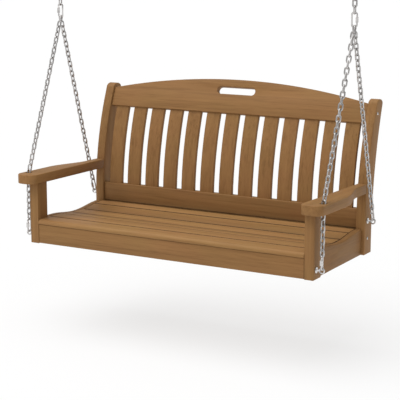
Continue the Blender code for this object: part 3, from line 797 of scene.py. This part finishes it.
@dataclass
class Back:
    """The back: bent slats between the lower rail and the arched crest.

    Attributes:
        slats: how many slats there are.
        lean: angle of the crest from upright.
        thickness: of the crest board.
        height: of the crest at its middle, along the lean.
        rise: of its arch over its ends.
        slot_centre, slot_length, slot_height: of the hand slot, along the lean.
        margin: how far the slot's cutter stands out on each side.
        seed: sets the slats' own numbers.
    """

    finishes: Finishes
    lumber: Lumber = field(default_factory=Lumber)
    slats: int = 13
    lean: float = math.radians(21.5)
    thickness: float = 0.025
    height: float = 0.1435
    rise: float = 0.0645
    slot_centre: float = 0.0962
    slot_length: float = 0.175
    slot_height: float = 0.031
    margin: float = 0.02
    seed: int = 4

    def outline(self, half: float) -> list[tuple[float, float]]:
        """Front view of the crest, as (x, distance up the lean)."""
        radius = (half ** 2 + self.rise ** 2) / (2 * self.rise)
        turn = math.asin(half / radius)
        points = [(radius * math.sin(a), self.height - radius * (1 - math.cos(a)))
                  for a in steps(turn, -turn, 49)]
        return points + [(-half, 0.0), (half, 0.0)]

    def slot_outline(self) -> list[tuple[float, float]]:
        """Front view of the hand slot, in the order of the clock's hands."""
        end = self.slot_height / 2
        reach = self.slot_length / 2 - end
        points = [(reach + end * math.cos(a), self.slot_centre + end * math.sin(a))
                  for a in steps(-math.pi / 2, math.pi / 2, 13)]
        return points + [(-x, 2 * self.slot_centre - y) for x, y in points]

    def leaning(self, outline: Sequence[tuple[float, float]], near: float,
                far: float) -> bmesh.types.BMesh:
        """Board in the crest's leaning plane between two depths."""
        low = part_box("crest_rail")[0]
        base = Vector((0, low.y, low.z + self.thickness * math.sin(self.lean)))
        up = Vector((0, math.sin(self.lean), math.cos(self.lean)))
        back = Vector((0, math.cos(self.lean), -math.sin(self.lean)))
        bm = bmesh.new()
        loft(bm, [[base + x * ALONG_BENCH + y * up + depth * back for x, y in outline]
                  for depth in (near, far)])
        return bm

    def crest(self) -> None:
        """Make the arched crest and cut its hand slot."""
        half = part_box("crest_rail")[1].x
        board = new_object("crest_board",
                           mesh_of(self.leaning(self.outline(half), 0, self.thickness), "crest"))
        cut(board, self.leaning(self.slot_outline(), -self.margin,
                                self.thickness + self.margin))
        bm = bmesh.new()
        bm.from_mesh(board.data)
        bpy.data.objects.remove(board)
        tight = Lumber(shortest=0.003)
        piece = tight.ease("crest_rail_board", [bm], 53, 0.0026)
        dress(piece, self.finishes.bench_boards, "bench", ["crest_rail"])

    def lower_rail(self) -> None:
        """Make the rail that the slats stand in."""
        low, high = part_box("lower_back_rail")
        bm = bmesh.new()
        loft(bm, [[Vector((x, y, z)) for y, z in ((low.y, low.z), (high.y, low.z),
                                                  (high.y, high.z), (low.y, high.z))]
                  for x in (low.x, high.x)])
        piece = self.lumber.ease("lower_rail_board", [bm], 57)
        # Painted shade on the rail's underside, where it overhangs the seat, and on its ends.
        self.lumber.paint_shade(piece, [-UP, *BOTH_ENDS], reach=0.4)
        dress(piece, self.finishes.bench_boards, "bench", ["lower_back_rail"])

    def slat_row(self) -> None:
        """Set the bent slats in their row."""
        first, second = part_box("back_slat_01"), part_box("back_slat_02")
        pattern = self.lumber.ease("one_slat", [self.lumber.board("back_slat_07")], 0, 0.0022)
        row = grow("back_slats", points_mesh("row", [Vector((0, 0, 0))]), slat_row_tree(),
                   Slat=pattern, Count=self.slats, Pitch=second[0].x - first[0].x,
                   Seed=self.seed, Material=self.finishes.slat_boards)
        bpy.data.objects.remove(pattern)
        smooth(row.data, 30.0)
        names = [f"back_slat_{i + 1:02d}" for i in range(self.slats)]
        dress(row, self.finishes.slat_boards, "bench", names)

    def build(self) -> None:
        """Make the crest, the lower rail and the slats."""
        self.crest()
        self.lower_rail()
        self.slat_row()


# ---------------------------------------------------------------- chain and fittings

def chain_tree() -> bpy.types.NodeTree:
    """Tree that lays round-wire links along a line, each turned a quarter from the last."""
    tree = Tree("welded_chain", Links=("Int", 9), Link_Length=("Float", 0.0286),
                Link_Width=("Float", 0.014), Wire=("Float", 0.0048),
                First_Shift=("Vector", (0, 0, 0)), First_Width=("Float", 1.0),
                Start_Turn=("Int", 0), Twist=("Float", 0.0), Later_Twist=("Float", 0.0),
                Seed=("Int", 1))
    width = tree.given("Link Width")
    line = tree.node("GeometryNodeMeshToCurve", Mesh=tree.given("Geometry"))
    points = tree.node("GeometryNodeCurveToPoints", {"mode": "COUNT"}, "Points", Curve=line,
                       Count=tree.given("Links"))
    index = tree.node("GeometryNodeInputIndex")
    is_first = tree.node("FunctionNodeCompare", {"data_type": "INT", "operation": "EQUAL"},
                         i2=index, i3=0)
    moved = tree.node("GeometryNodeSetPosition", Geometry=points, Selection=is_first,
                      Offset=tree.given("First Shift"))
    upright = tree.node("FunctionNodeAlignRotationToVector", {"axis": "Z"},
                        Vector=points.node.outputs["Tangent"])
    square = tree.node("FunctionNodeAlignRotationToVector", {"axis": "X", "pivot_axis": "Z"},
                       Rotation=upright, Vector=ALONG_BENCH)
    parity = tree.math("MODULO", tree.math("ADD", index, tree.given("Start Turn")), 2.0)
    turn = tree.math("MULTIPLY", parity, math.pi / 2)
    for twist, first, last in (("Twist", 0.0, 5.0), ("Later Twist", 5.0, 25.0)):
        eased = tree.node("ShaderNodeMapRange", i0=index, i1=first, i2=last, i3=0.0, i4=1.0)
        turn = tree.math("MULTIPLY_ADD", eased, tree.given(twist), turn)
    outline = tree.node("GeometryNodeCurvePrimitiveQuadrilateral", {"mode": "RECTANGLE"},
                        Width=width, Height=tree.given("Link Length"))
    bent = tree.node("GeometryNodeFilletCurve", {"mode": "POLY"}, Curve=outline,
                     Radius=tree.math("MULTIPLY", width, 0.498), Count=3)
    stood = tree.node("GeometryNodeTransform", Geometry=bent, Rotation=(math.pi / 2, 0.0, 0.0))
    section = tree.node("GeometryNodeCurvePrimitiveCircle", {"mode": "RADIUS"}, Resolution=6,
                        Radius=tree.math("MULTIPLY", tree.given("Wire"), 0.5))
    link = tree.node("GeometryNodeCurveToMesh", Curve=stood, Profile_Curve=section)
    narrow = tree.node("ShaderNodeCombineXYZ", X=tree.given("First Width"), Y=1.0, Z=1.0)
    scale = tree.node("GeometryNodeSwitch", {"input_type": "VECTOR"}, Switch=is_first,
                      i1=(1.0, 1.0, 1.0), i2=narrow)
    laid = tree.node("GeometryNodeInstanceOnPoints", Points=moved, Instance=link,
                     Rotation=tree.spun(square, turn), Scale=scale)
    return tree.end(tree.numbered(laid, "link"))


def screw_tree() -> bpy.types.NodeTree:
    """Tree that sets a screw head on each point, facing along the point's stored direction."""
    tree = Tree("screw_heads", Head=("Object", None), Seed=("Int", 2))
    facing = tree.node("GeometryNodeInputNamedAttribute", {"data_type": "FLOAT_VECTOR"},
                       Name="facing")
    out = tree.node("FunctionNodeAlignRotationToVector", {"axis": "Z"}, Vector=facing)
    turn = tree.node("FunctionNodeRandomValue", {"data_type": "FLOAT"}, 1, i2=0.0, i3=math.pi,
                     Seed=tree.given("Seed"))
    head = tree.node("GeometryNodeObjectInfo", output="Geometry", Object=tree.given("Head"))
    placed = tree.node("GeometryNodeInstanceOnPoints", Points=tree.given("Geometry"),
                       Instance=head, Rotation=tree.spun(out, turn))
    return tree.end(placed)


@dataclass
class LinkChain:
    """A run of welded links between two points, with or without a bend.

    Attributes:
        wire: thickness of the wire.
        width: of a link, between wire centres.
        start_turn: 1, so that the first link stands across the bench's length.
    """

    finishes: Finishes
    wire: float = 0.0061
    width: float = 0.0150
    start_turn: int = 1
    tree: bpy.types.NodeTree = field(default_factory=chain_tree)

    def run(self, name: str, body: str, node: str, corners: Sequence[Vector], links: int,
            first_shift: Vector = Vector((0, 0, 0)), first_width: float = 1.0,
            twist: tuple[float, float] = (0.0, 0.0), seed: int = 1) -> None:
        """Lay one chain.

        Args:
            name: the piece's name.
            body: the body it rides on.
            node: the CAD node it stands for.
            corners: wire centres of the first and last ends, with any bend between.
            links: how many links there are.
            first_shift: sideways place of the first link.
            first_width: width of the first link, as a share of the others'.
            twist: turn in degrees about the run's own line, reached after a few links, and
                what is added to it by the twenty-fifth.
            seed: sets the links' tones.
        """
        total = sum((b - a).length for a, b in zip(corners, corners[1:])) - self.wire
        pitch = total / links
        inset = pitch / 2 + self.wire / 2
        path = list(corners)
        path[0] = path[0] + (corners[1] - corners[0]).normalized() * inset
        path[-1] = path[-1] + (corners[-2] - corners[-1]).normalized() * inset
        piece = grow(name, points_mesh(name, path, True), self.tree, Links=links,
                     Link_Length=pitch + self.wire, Link_Width=self.width, Wire=self.wire,
                     First_Shift=first_shift, First_Width=first_width,
                     Start_Turn=self.start_turn, Twist=math.radians(twist[0]),
                     Later_Twist=math.radians(twist[1]), Seed=seed,
                     Material=self.finishes.chain)
        smooth(piece.data, 60.0)
        dress(piece, self.finishes.chain, body, [node])


@dataclass
class ConnectingLink:
    """A quick link: a bent wire closed by a hexagonal sleeve on its thread.

    Attributes:
        wire: thickness of the wire.
        length, width: between wire centres.
        corner: radius of the bends.
        sleeve_length, sleeve_radius: of the sleeve.
        thread_step, thread_depth: half the thread's pitch, and its depth.
        thread_lift: of the thread's foot above the wire.
    """

    wire: float = 0.006
    length: float = 0.054
    width: float = 0.020
    corner: float = 0.0085
    sleeve_length: float = 0.020
    sleeve_radius: float = 0.0058
    thread_step: float = 0.0006
    thread_depth: float = 0.0004
    thread_lift: float = 0.00005

    def path(self, centre: Vector, along: Vector, across: Vector) -> list[Vector]:
        """Centre line of the wire."""
        reach, spread = self.length / 2 - self.corner, self.width / 2 - self.corner
        points = []
        for end, side, turn in ((1, 1, 0), (1, -1, 1), (-1, -1, 2), (-1, 1, 3)):
            for a in steps(turn * math.pi / 2, (turn + 1) * math.pi / 2, 8):
                points.append(centre + (end * reach + self.corner * math.sin(a)) * along
                              + (side * spread + self.corner * math.cos(a)) * across)
        return points

    def build(self, bm: bmesh.types.BMesh, centre: Vector, along: Vector, across: Vector,
              sleeve_side: int) -> None:
        """Add one link to a bmesh.

        Args:
            bm: what it is added to.
            centre: middle of the link.
            along: direction of its length.
            across: direction of its width.
            sleeve_side: 1 or -1, the side of the sleeve along across.
        """
        sweep(bm, self.path(centre, along, across), along.cross(across), self.wire / 2, 14)
        start = (centre + across * (self.width / 2 * sleeve_side)
                 - along * self.sleeve_length / 2)
        radius, ease = self.sleeve_radius, self.sleeve_radius * 0.16
        turned(bm, start, along, ((0, radius - ease), (ease, radius),
                                  (self.sleeve_length - ease, radius),
                                  (self.sleeve_length, radius - ease)), 6)
        foot = self.wire / 2 + self.thread_lift
        thread = [(self.sleeve_length + t * self.thread_step,
                   foot + (self.thread_depth if t % 2 else 0.0)) for t in range(9)]
        turned(bm, start, along, thread, 14)


@dataclass
class EyeBolt:
    """An eye bolt whose flange bears on the post.

    Attributes:
        wire: thickness of the ring's wire.
        ring: radius of the ring's centre line.
        flange, flange_thickness: of the collar.
        easing: width of the collar's eased edges.
        boss, boss_tip, boss_height: radii and height of the collar's raised middle.
        shank: radius of the shank.
    """

    wire: float = 0.006
    ring: float = 0.0095
    flange: float = 0.0115
    flange_thickness: float = 0.0025
    easing: float = 0.0007
    boss: float = 0.0052
    boss_tip: float = 0.0044
    boss_height: float = 0.0012
    shank: float = 0.0034

    def build(self, bm: bmesh.types.BMesh, node: str, sign: int) -> None:
        """Add one eye bolt to a bmesh, where its CAD node is."""
        at = middle(node)
        centre = Vector((outer_face(node) - sign * (self.ring + self.wire / 2), at.y, at.z))
        circle = [centre + self.ring * (math.cos(a) * ALONG_BENCH + math.sin(a) * UP)
                  for a in steps(0, math.tau, 33)[:-1]]
        sweep(bm, circle, ACROSS_BENCH, self.wire / 2, 14)
        face = Vector((sign * (abs(outer_face("left_rear_post")) + GAP), at.y, at.z))
        depth, ease = self.flange_thickness, self.easing
        neck = abs(centre.x - face.x) - self.ring + 0.001
        turned(bm, face, sign * ALONG_BENCH,
               ((0, self.flange - ease), (ease, self.flange), (depth - ease, self.flange),
                (depth, self.flange - ease), (depth, self.boss),
                (depth + self.boss_height, self.boss_tip), (neck, self.shank)), 28)


@dataclass
class CeilingHanger:
    """A ceiling plate and the staple that a chain hangs from.

    Attributes:
        thickness, corner: of the plate, and radius of its corners.
        easing: width of its eased edges.
        reach, bend: half width of the staple, and radius of its bends.
        wire: thickness of the staple.
        screw_place: of the two screws, along the bench from the plate's middle.
    """

    thickness: float = 0.006
    corner: float = 0.008
    easing: float = 0.001
    reach: float = 0.013
    bend: float = 0.0065
    wire: float = 0.008
    screw_place: float = 0.032

    def plate(self, bm: bmesh.types.BMesh, node: str) -> None:
        """Add the plate to a bmesh, where its CAD node is."""
        at = middle(node)
        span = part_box(node)[1] - at
        rings = []
        for z, inset in ((-self.thickness, self.easing), (self.easing - self.thickness, 0.0),
                         (-self.easing, 0.0), (0.0, self.easing)):
            bow = self.corner - inset
            rings.append([Vector((at.x + sx * (span.x - self.corner) + bow * math.cos(a),
                                  at.y + sy * (span.y - self.corner) + bow * math.sin(a), z))
                          for sx, sy, turn in ((1, 1, 0), (-1, 1, 1), (-1, -1, 2), (1, -1, 3))
                          for a in steps(turn * math.pi / 2, (turn + 1) * math.pi / 2, 6)])
        loft(bm, rings)

    def staple(self, bm: bmesh.types.BMesh, at: Vector, bottom: float) -> None:
        """Add the staple to a bmesh, from the plate at a point down to its bar's centre line."""
        right = [Vector((self.reach - self.bend * (1 - math.sin(a)), at.y,
                         bottom + self.bend * (1 - math.cos(a))))
                 for a in steps(0, math.pi / 2, 8)]
        right.append(Vector((self.reach, at.y, -self.thickness / 2)))
        left = [Vector((-p.x, p.y, p.z)) for p in reversed(right)]
        sweep(bm, [p + at.x * ALONG_BENCH for p in left + right], ACROSS_BENCH, self.wire / 2,
              16, closed=False)


@dataclass
class ScrewHeads:
    """Domed screw heads with a cross recess.

    Attributes:
        radius, height: of the dome.
        recess: depth of the cross.
    """

    finishes: Finishes
    radius: float = 0.006
    height: float = 0.0034
    recess: float = 0.0016

    def head(self) -> bpy.types.Object:
        """One head at the origin, facing +Z."""
        bm = bmesh.new()
        dome = [(0.0, self.radius), (self.height * 0.22, self.radius)]
        dome += [(self.height * (0.22 + 0.78 * math.sin(a)), self.radius * math.cos(a))
                 for a in steps(0.25, 1.35, 6)]
        turned(bm, Vector((0, 0, 0)), UP, dome, 24)
        head = new_object("head", mesh_of(bm, "head"))
        bm = bmesh.new()
        for length, width in ((0.62, 0.17), (0.17, 0.62)):
            x, y = self.radius * length, self.radius * width
            loft(bm, [[Vector((sx * x, sy * y, z)) for sx, sy in ((1, 1), (-1, 1), (-1, -1),
                                                                  (1, -1))]
                      for z in (self.height - self.recess, self.height * 2)])
        cut(head, bm, crossing=True)
        return head

    def set(self, name: str, body: str, places: Sequence[tuple[Vector, Vector]],
            nodes: Sequence[str], seed: int) -> None:
        """Set heads at places, each a point and the way it faces."""
        head = self.head()
        mesh = points_mesh(name, [point for point, _ in places])
        facing = mesh.attributes.new("facing", "FLOAT_VECTOR", "POINT")
        for item, (_, way) in zip(facing.data, places):
            item.vector = way
        piece = grow(name, mesh, screw_tree(), Head=head, Seed=seed,
                     Material=self.finishes.fittings)
        bpy.data.objects.remove(head)
        smooth(piece.data, 40.0)
        dress(piece, self.finishes.fittings, body, nodes)


@dataclass
class Rigging:
    """Everything of metal: hangers, chains, connecting links, eye bolts and screws.

    Attributes:
        front_links, rear_links, upper_links: how many links each run has.
        spread, first_width: sideways place of the two first links on a shared link, and
            their width as a share of the others'.
        play: free play between two links that move on each other.
        bend_y, bend_drop: where the front chains bend in their arms, and how far below the top.
        chain_wire: thickness of the chains' wire.
        twists: how far each leg has turned about its own line near its top, and how much
            further by its foot, in degrees.
        link_turn: how far the left front leg's lower link has turned with its chain.
        leg_seed, upper_seed: set the tones of the links.
    """

    finishes: Finishes
    link: ConnectingLink = field(default_factory=ConnectingLink)
    hanger: CeilingHanger = field(default_factory=CeilingHanger)
    front_links: int = 38
    rear_links: int = 34
    upper_links: int = 8
    spread: float = 0.0033
    first_width: float = 0.82
    play: float = 0.0005
    bend_y: float = -0.2440
    bend_drop: float = 0.0085
    chain_wire: float = 0.0061
    twists: tuple[tuple[str, tuple[float, float]], ...] = (
        ("left_front", (-20.0, 35.0)), ("right_front", (15.0, 0.0)),
        ("left_rear", (15.0, 0.0)), ("right_rear", (0.0, 0.0)))
    link_turn: float = 12.0
    leg_seed: int = 10
    upper_seed: int = 30

    def rise(self) -> float:
        """Distance between the wire centres of two links that hang on each other."""
        return (self.link.wire + self.chain_wire) / 2

    def metal(self, name: str, bm: bmesh.types.BMesh, body: str, nodes: Sequence[str],
              crease: float = 35.0) -> None:
        """Make a plated piece of a body; folds sharper than the crease, in degrees, stay crisp."""
        piece = new_object(name, mesh_of(bm, name))
        smooth(piece.data, crease)
        dress(piece, self.finishes.fittings, body, nodes)

    def links(self, name: str, body: str, places: Sequence[tuple[Vector, Vector, Vector, int]],
              nodes: Sequence[str]) -> None:
        """Make connecting links of one body as a piece."""
        bm = bmesh.new()
        for centre, along, across, side in places:
            self.link.build(bm, centre, along, across, side)
        self.metal(name, bm, body, nodes, 32.0)

    def legs(self, chain: LinkChain) -> None:
        """Make the bench's four chains and the links at their lower ends."""
        places, nodes = [], []
        drop = joint("bench_tilt")
        for number, (side, sign) in enumerate(SIDES):
            apex = Vector((sign * drop.x, drop.y, drop.z))
            arm_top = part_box(f"{side}_arm")[1].z
            bend = Vector((apex.x, self.bend_y, arm_top - self.bend_drop))
            for end, links in (("front", self.front_links), ("rear", self.rear_links)):
                bolt = f"{side}_{end}_eye_bolt"
                hook = Vector((apex.x, middle(bolt).y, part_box(bolt)[1].z - self.link.wire / 2))
                corners = [apex, bend, hook] if end == "front" else [apex, hook]
                down = (corners[-1] - corners[-2]).normalized()
                bottom = hook + down * (self.link.wire + GAP)
                turn = math.radians(self.link_turn if (side, end) == ("left", "front") else 0.0)
                across = (down.cross(ALONG_BENCH) * math.cos(turn)
                          + ALONG_BENCH * math.sin(turn))
                places.append((bottom - down * self.link.length / 2, -down, across, 1))
                nodes.append(f"{side}_{end}_quick_link")
                lead = (corners[1] - corners[0]).normalized() * (self.rise() + self.play)
                last = bottom - down * (self.link.length - self.rise() - GAP)
                shift = self.spread if end == "front" else -self.spread
                chain.run(f"{side}_{end}_leg", "bench", f"{side}_{end}_chain",
                          [apex - lead, *corners[1:-1], last], links,
                          first_shift=Vector((shift, 0, 0)), first_width=self.first_width,
                          twist=dict(self.twists)[f"{side}_{end}"],
                          seed=self.leg_seed + 2 * number + links)
        self.links("lower_links", "bench", places, nodes)

    def uppers(self, chain: LinkChain) -> None:
        """Make the upper chains with the links above and below them."""
        for number, (side, sign) in enumerate(SIDES):
            sway, level, tilt = joint("left_sway"), joint("left_level"), joint("bench_tilt")
            half = UP * self.link.length / 2
            x = sign * sway.x
            at = [Vector((x, p.y, p.z)) for p in (sway, level, tilt)]
            self.links(f"{side}_top_shackle", f"{side}_top_link",
                       [(at[0] + half, UP, ACROSS_BENCH, -1)], [f"{side}_top_link"])
            self.links(f"{side}_shared_shackle", f"{side}_junction_link",
                       [(at[2] + half, UP, ALONG_BENCH, sign)], [f"{side}_junction_link"])
            chain.run(f"{side}_upper_run", f"{side}_upper_chain", f"{side}_upper_chain",
                      [at[1], at[0] + UP * (self.rise() + self.play)], self.upper_links,
                      seed=self.upper_seed + number)

    def bolts(self) -> None:
        """Make the four eye bolts."""
        bm = bmesh.new()
        nodes = []
        for side, sign in SIDES:
            for node in (f"{side}_front_eye_bolt", f"{side}_rear_eye_bolt"):
                EyeBolt().build(bm, node, sign)
                nodes.append(node)
        self.metal("eye_bolts", bm, "bench", nodes)

    def hangers(self) -> None:
        """Make the ceiling plates with their staples."""
        bm = bmesh.new()
        nodes = [f"{side}_ceiling_hanger" for side, _ in SIDES]
        for node in nodes:
            self.hanger.plate(bm, node)
            self.hanger.staple(bm, middle(node), joint("left_swing").z)
        self.metal("ceiling_hangers", bm, "ceiling", nodes)

    def screws(self) -> None:
        """Set the screw heads of the posts and of the ceiling plates."""
        heads = ScrewHeads(self.finishes)
        places, nodes = [], []
        for side, sign in SIDES:
            for node in (f"{side}_crest_screw", f"{side}_seat_screw"):
                at = middle(node)
                places.append((Vector((outer_face(f"{side}_rear_post"), at.y, at.z)),
                               sign * ALONG_BENCH))
                nodes.append(node)
        heads.set("post_screw_heads", "bench", places, nodes, seed=3)
        places = []
        for side, _ in SIDES:
            at = middle(f"{side}_ceiling_hanger")
            for shift in (-self.hanger.screw_place, self.hanger.screw_place):
                places.append((Vector((at.x + shift, at.y, -self.hanger.thickness)), -UP))
        heads.set("plate_screw_heads", "ceiling", places, [], seed=5)

    def build(self) -> None:
        """Make all the metal."""
        chain = LinkChain(self.finishes, wire=self.chain_wire)
        self.legs(chain)
        self.uppers(chain)
        self.bolts()
        self.hangers()
        self.screws()


# ---------------------------------------------------------------- studio

@dataclass
class Studio:
    """Camera, lights and floor.

    Attributes:
        lens: focal length in millimetres.
        place: of the camera.
        pitch, yaw: of the camera, in degrees.
        floor, floor_size: height and size of the floor.
        surround: strength of the white surroundings.
        key_from, key_power: direction that the even light comes from, and its strength.
        key_spread: its width in the sky, in degrees, which softens the shadow.
        fill_place, fill_aim: of the soft lamp, and the point that it looks at.
        fill_size, fill_power: of the soft lamp.
    """

    lens: float = 118.9
    place: tuple[float, float, float] = (2.539, -4.4595, -0.0093)
    pitch: float = 78.81
    yaw: float = 29.59
    floor: float = -1.57
    floor_size: float = 60.0
    surround: float = 0.50
    key_from: tuple[float, float, float] = (-0.28, -0.24, 1.0)
    key_power: float = 2.4
    key_spread: float = 62.0
    fill_place: tuple[float, float, float] = (-3.2, -3.2, 0.9)
    fill_aim: tuple[float, float, float] = (0.0, 0.0, -0.9)
    fill_size: float = 2.5
    fill_power: float = 12.0

    def camera(self) -> None:
        """Place the camera."""
        data = bpy.data.cameras.new("camera")
        data.lens = self.lens
        data.sensor_width = 36.0
        data.clip_end = 200.0
        camera = new_object("camera", data)
        camera.location = self.place
        camera.rotation_euler = [math.radians(a) for a in (self.pitch, 0.0, self.yaw)]
        bpy.context.scene.camera = camera

    @staticmethod
    def lamp(data: bpy.types.Light, power: float, way: Vector,
             place: Sequence[float] = (0.0, 0.0, 0.0)) -> None:
        """Place a lamp that shines one way."""
        data.energy = power
        lamp = new_object(data.name, data)
        lamp.location = place
        lamp.rotation_euler = way.to_track_quat("-Z", "Y").to_euler()

    def lamps(self) -> None:
        """Place the even light from far away and the soft square lamp."""
        key = bpy.data.lights.new("key_lamp", "SUN")
        key.angle = math.radians(self.key_spread)
        self.lamp(key, self.key_power, -Vector(self.key_from))
        fill = bpy.data.lights.new("fill_lamp", "AREA")
        fill.size = self.fill_size
        self.lamp(fill, self.fill_power, Vector(self.fill_aim) - Vector(self.fill_place),
                  self.fill_place)

    def world(self) -> None:
        """Soft white surroundings."""
        world = bpy.data.worlds.new("studio")
        world.use_nodes = True
        background = world.node_tree.nodes["Background"]
        background.inputs["Color"].default_value = (1.0, 1.0, 1.0, 1.0)
        background.inputs["Strength"].default_value = self.surround
        bpy.context.scene.world = world
        bpy.context.scene.view_settings.view_transform = "Standard"

    def ground(self) -> None:
        """Lay the floor."""
        bm = bmesh.new()
        bmesh.ops.create_grid(bm, x_segments=8, y_segments=8, size=self.floor_size)
        bmesh.ops.translate(bm, verts=bm.verts, vec=(0, 0, self.floor))
        floor = new_object("floor", mesh_of(bm, "floor"))
        floor.data.materials.append(FloorFinish().material())

    def build(self) -> None:
        """Set up the studio."""
        self.camera()
        self.world()
        self.ground()
        self.lamps()


def main() -> None:
    """Build the studio, then the bench and its rigging."""
    Studio().build()
    finishes = Finishes.build()
    for part in (Seat(finishes), EndFrames(finishes), Back(finishes), Rigging(finishes)):
        LOG.info("building %s", type(part).__name__)
        part.build()


if __name__ == "__main__":
    main()
